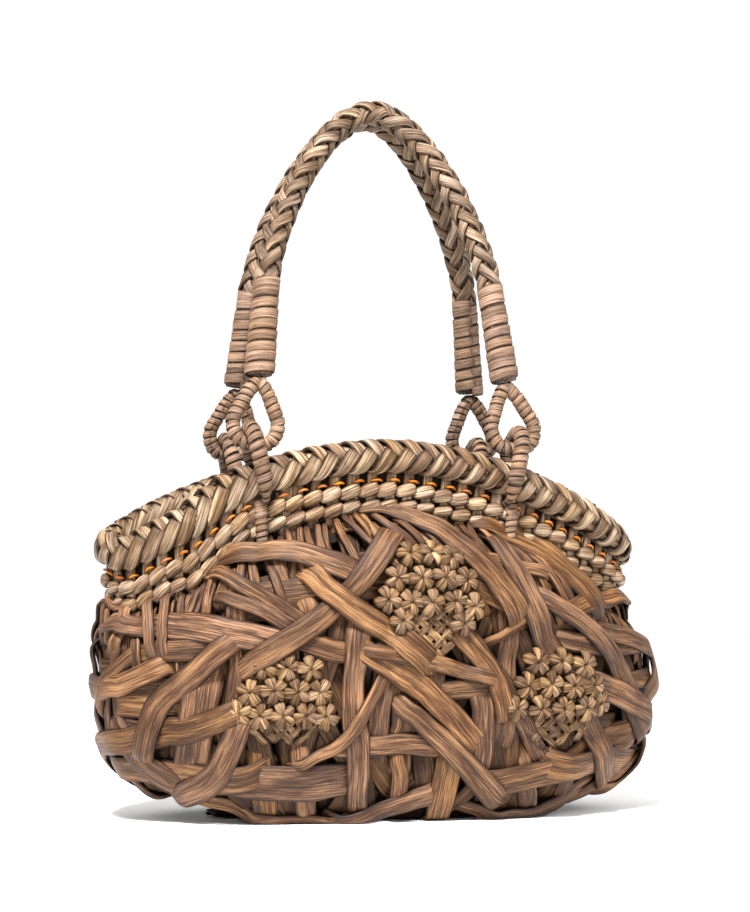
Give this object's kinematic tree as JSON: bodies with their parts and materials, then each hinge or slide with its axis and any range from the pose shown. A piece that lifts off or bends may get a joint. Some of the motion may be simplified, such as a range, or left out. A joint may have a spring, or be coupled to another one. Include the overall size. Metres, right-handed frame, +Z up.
{
  "type": "vine basket bag",
  "caption": "Oval open basket bag of woven vine bark with a saddle-shaped plaited rim, knotted patches, and plaited handles on wrapped rings.",
  "frame": {"origin": "on the floor under the middle of the bag, in the plane of the base mat", "axes": "+Z up, +X along the bag's length to the right of its front, front faces -Y"},
  "size_m": [0.3598, 0.1557, 0.4363],
  "materials": {
    "under_bark": "dull bark, split and dry",
    "strip_bark": "bark strip with long grain, faintly waxy",
    "rim_bark": "plaited bark, smoothed by handling",
    "twined_bark": "twined bark strand",
    "wrap_bark": "bark wound edge to edge",
    "plait_bark": "round plait of bark strands",
    "knot_bark": "fine knotted bark strip",
    "lacing_cord": "orange waxed cord"
  },
  "bodies": {
    "basket": {"base_mat": "under_bark", "woven_wall": "under_bark", "twined_row_upper": "twined_bark", "twined_row_lower": "twined_bark", "lacing_front": "lacing_cord", "lacing_back": "lacing_cord", "lacing_left": "lacing_cord", "lacing_right": "lacing_cord", "plaited_rim": "rim_bark", "front_low_band": "strip_bark", "front_low_band_right": "strip_bark", "front_left_band": "strip_bark", "front_left_post": "strip_bark", "front_middle_post": "strip_bark", "front_right_band": "strip_bark", "front_end_band": "strip_bark", "front_top_band": "strip_bark", "front_left_sweep": "strip_bark", "front_foot_sweep": "strip_bark", "front_crossing": "strip_bark", "front_right_sweep": "strip_bark", "front_corner_post": "strip_bark", "front_neck_sweep": "strip_bark", "front_shoulder_sweep": "strip_bark", "front_long_sweep": "strip_bark", "front_middle_fall": "strip_bark", "front_low_fall": "strip_bark", "front_neck_fall": "strip_bark", "back_middle_band": "strip_bark", "back_counter_sweep": "strip_bark", "back_low_band_left": "strip_bark", "back_low_band_right": "strip_bark", "back_high_band_left": "strip_bark", "back_high_band_right": "strip_bark", "back_rising_sweep": "strip_bark", "back_falling_sweep": "strip_bark", "back_crossing": "strip_bark", "left_low_band": "strip_bark", "left_crossing": "strip_bark", "left_end_post": "strip_bark", "right_low_band": "strip_bark", "right_end_post": "strip_bark", "right_crossing": "strip_bark", "knotted_patch_upper": "knot_bark", "knotted_patch_left": "knot_bark", "knotted_patch_right": "knot_bark"},
    "front_left_ring": {"front_left_ring": "wrap_bark"},
    "front_right_ring": {"front_right_ring": "wrap_bark"},
    "front_handle": {"front_handle_plait": "plait_bark", "front_left_eye": "wrap_bark", "front_left_collar": "wrap_bark", "front_right_eye": "wrap_bark", "front_right_collar": "wrap_bark"},
    "back_left_ring": {"back_left_ring": "wrap_bark"},
    "back_right_ring": {"back_right_ring": "wrap_bark"},
    "back_handle": {"back_handle_plait": "plait_bark", "back_left_eye": "wrap_bark", "back_left_collar": "wrap_bark", "back_right_eye": "wrap_bark", "back_right_collar": "wrap_bark"}
  },
  "joints": [
    {"name": "front_left_ring_rock", "type": "hinge", "parent": "basket", "child": "front_left_ring", "pos_m": [-0.07325, -0.04632, 0.18612], "axis": [1, 0, 0], "range_deg": [0, 6]},
    {"name": "front_right_ring_rock", "type": "hinge", "parent": "basket", "child": "front_right_ring", "pos_m": [0.07325, -0.04632, 0.18612], "axis": [1, 0, 0], "range_deg": [0, 6]},
    {"name": "front_handle_swing", "type": "hinge", "parent": "front_left_ring", "child": "front_handle", "pos_m": [-0.07988, -0.04632, 0.21871], "axis": [1, 0, 0], "range_deg": [0, 100]},
    {"name": "back_left_ring_rock", "type": "hinge", "parent": "basket", "child": "back_left_ring", "pos_m": [-0.07325, 0.04632, 0.18612], "axis": [-1, 0, 0], "range_deg": [0, 6]},
    {"name": "back_right_ring_rock", "type": "hinge", "parent": "basket", "child": "back_right_ring", "pos_m": [0.07325, 0.04632, 0.18612], "axis": [-1, 0, 0], "range_deg": [0, 6]},
    {"name": "back_handle_swing", "type": "hinge", "parent": "back_left_ring", "child": "back_handle", "pos_m": [-0.07988, 0.04632, 0.21871], "axis": [-1, 0, 0], "range_deg": [0, 100]}
  ],
  "couplings": [
    {"joint": "front_right_ring_rock", "follows": "front_left_ring_rock", "ratio": 1},
    {"joint": "back_right_ring_rock", "follows": "back_left_ring_rock", "ratio": 1}
  ]
}
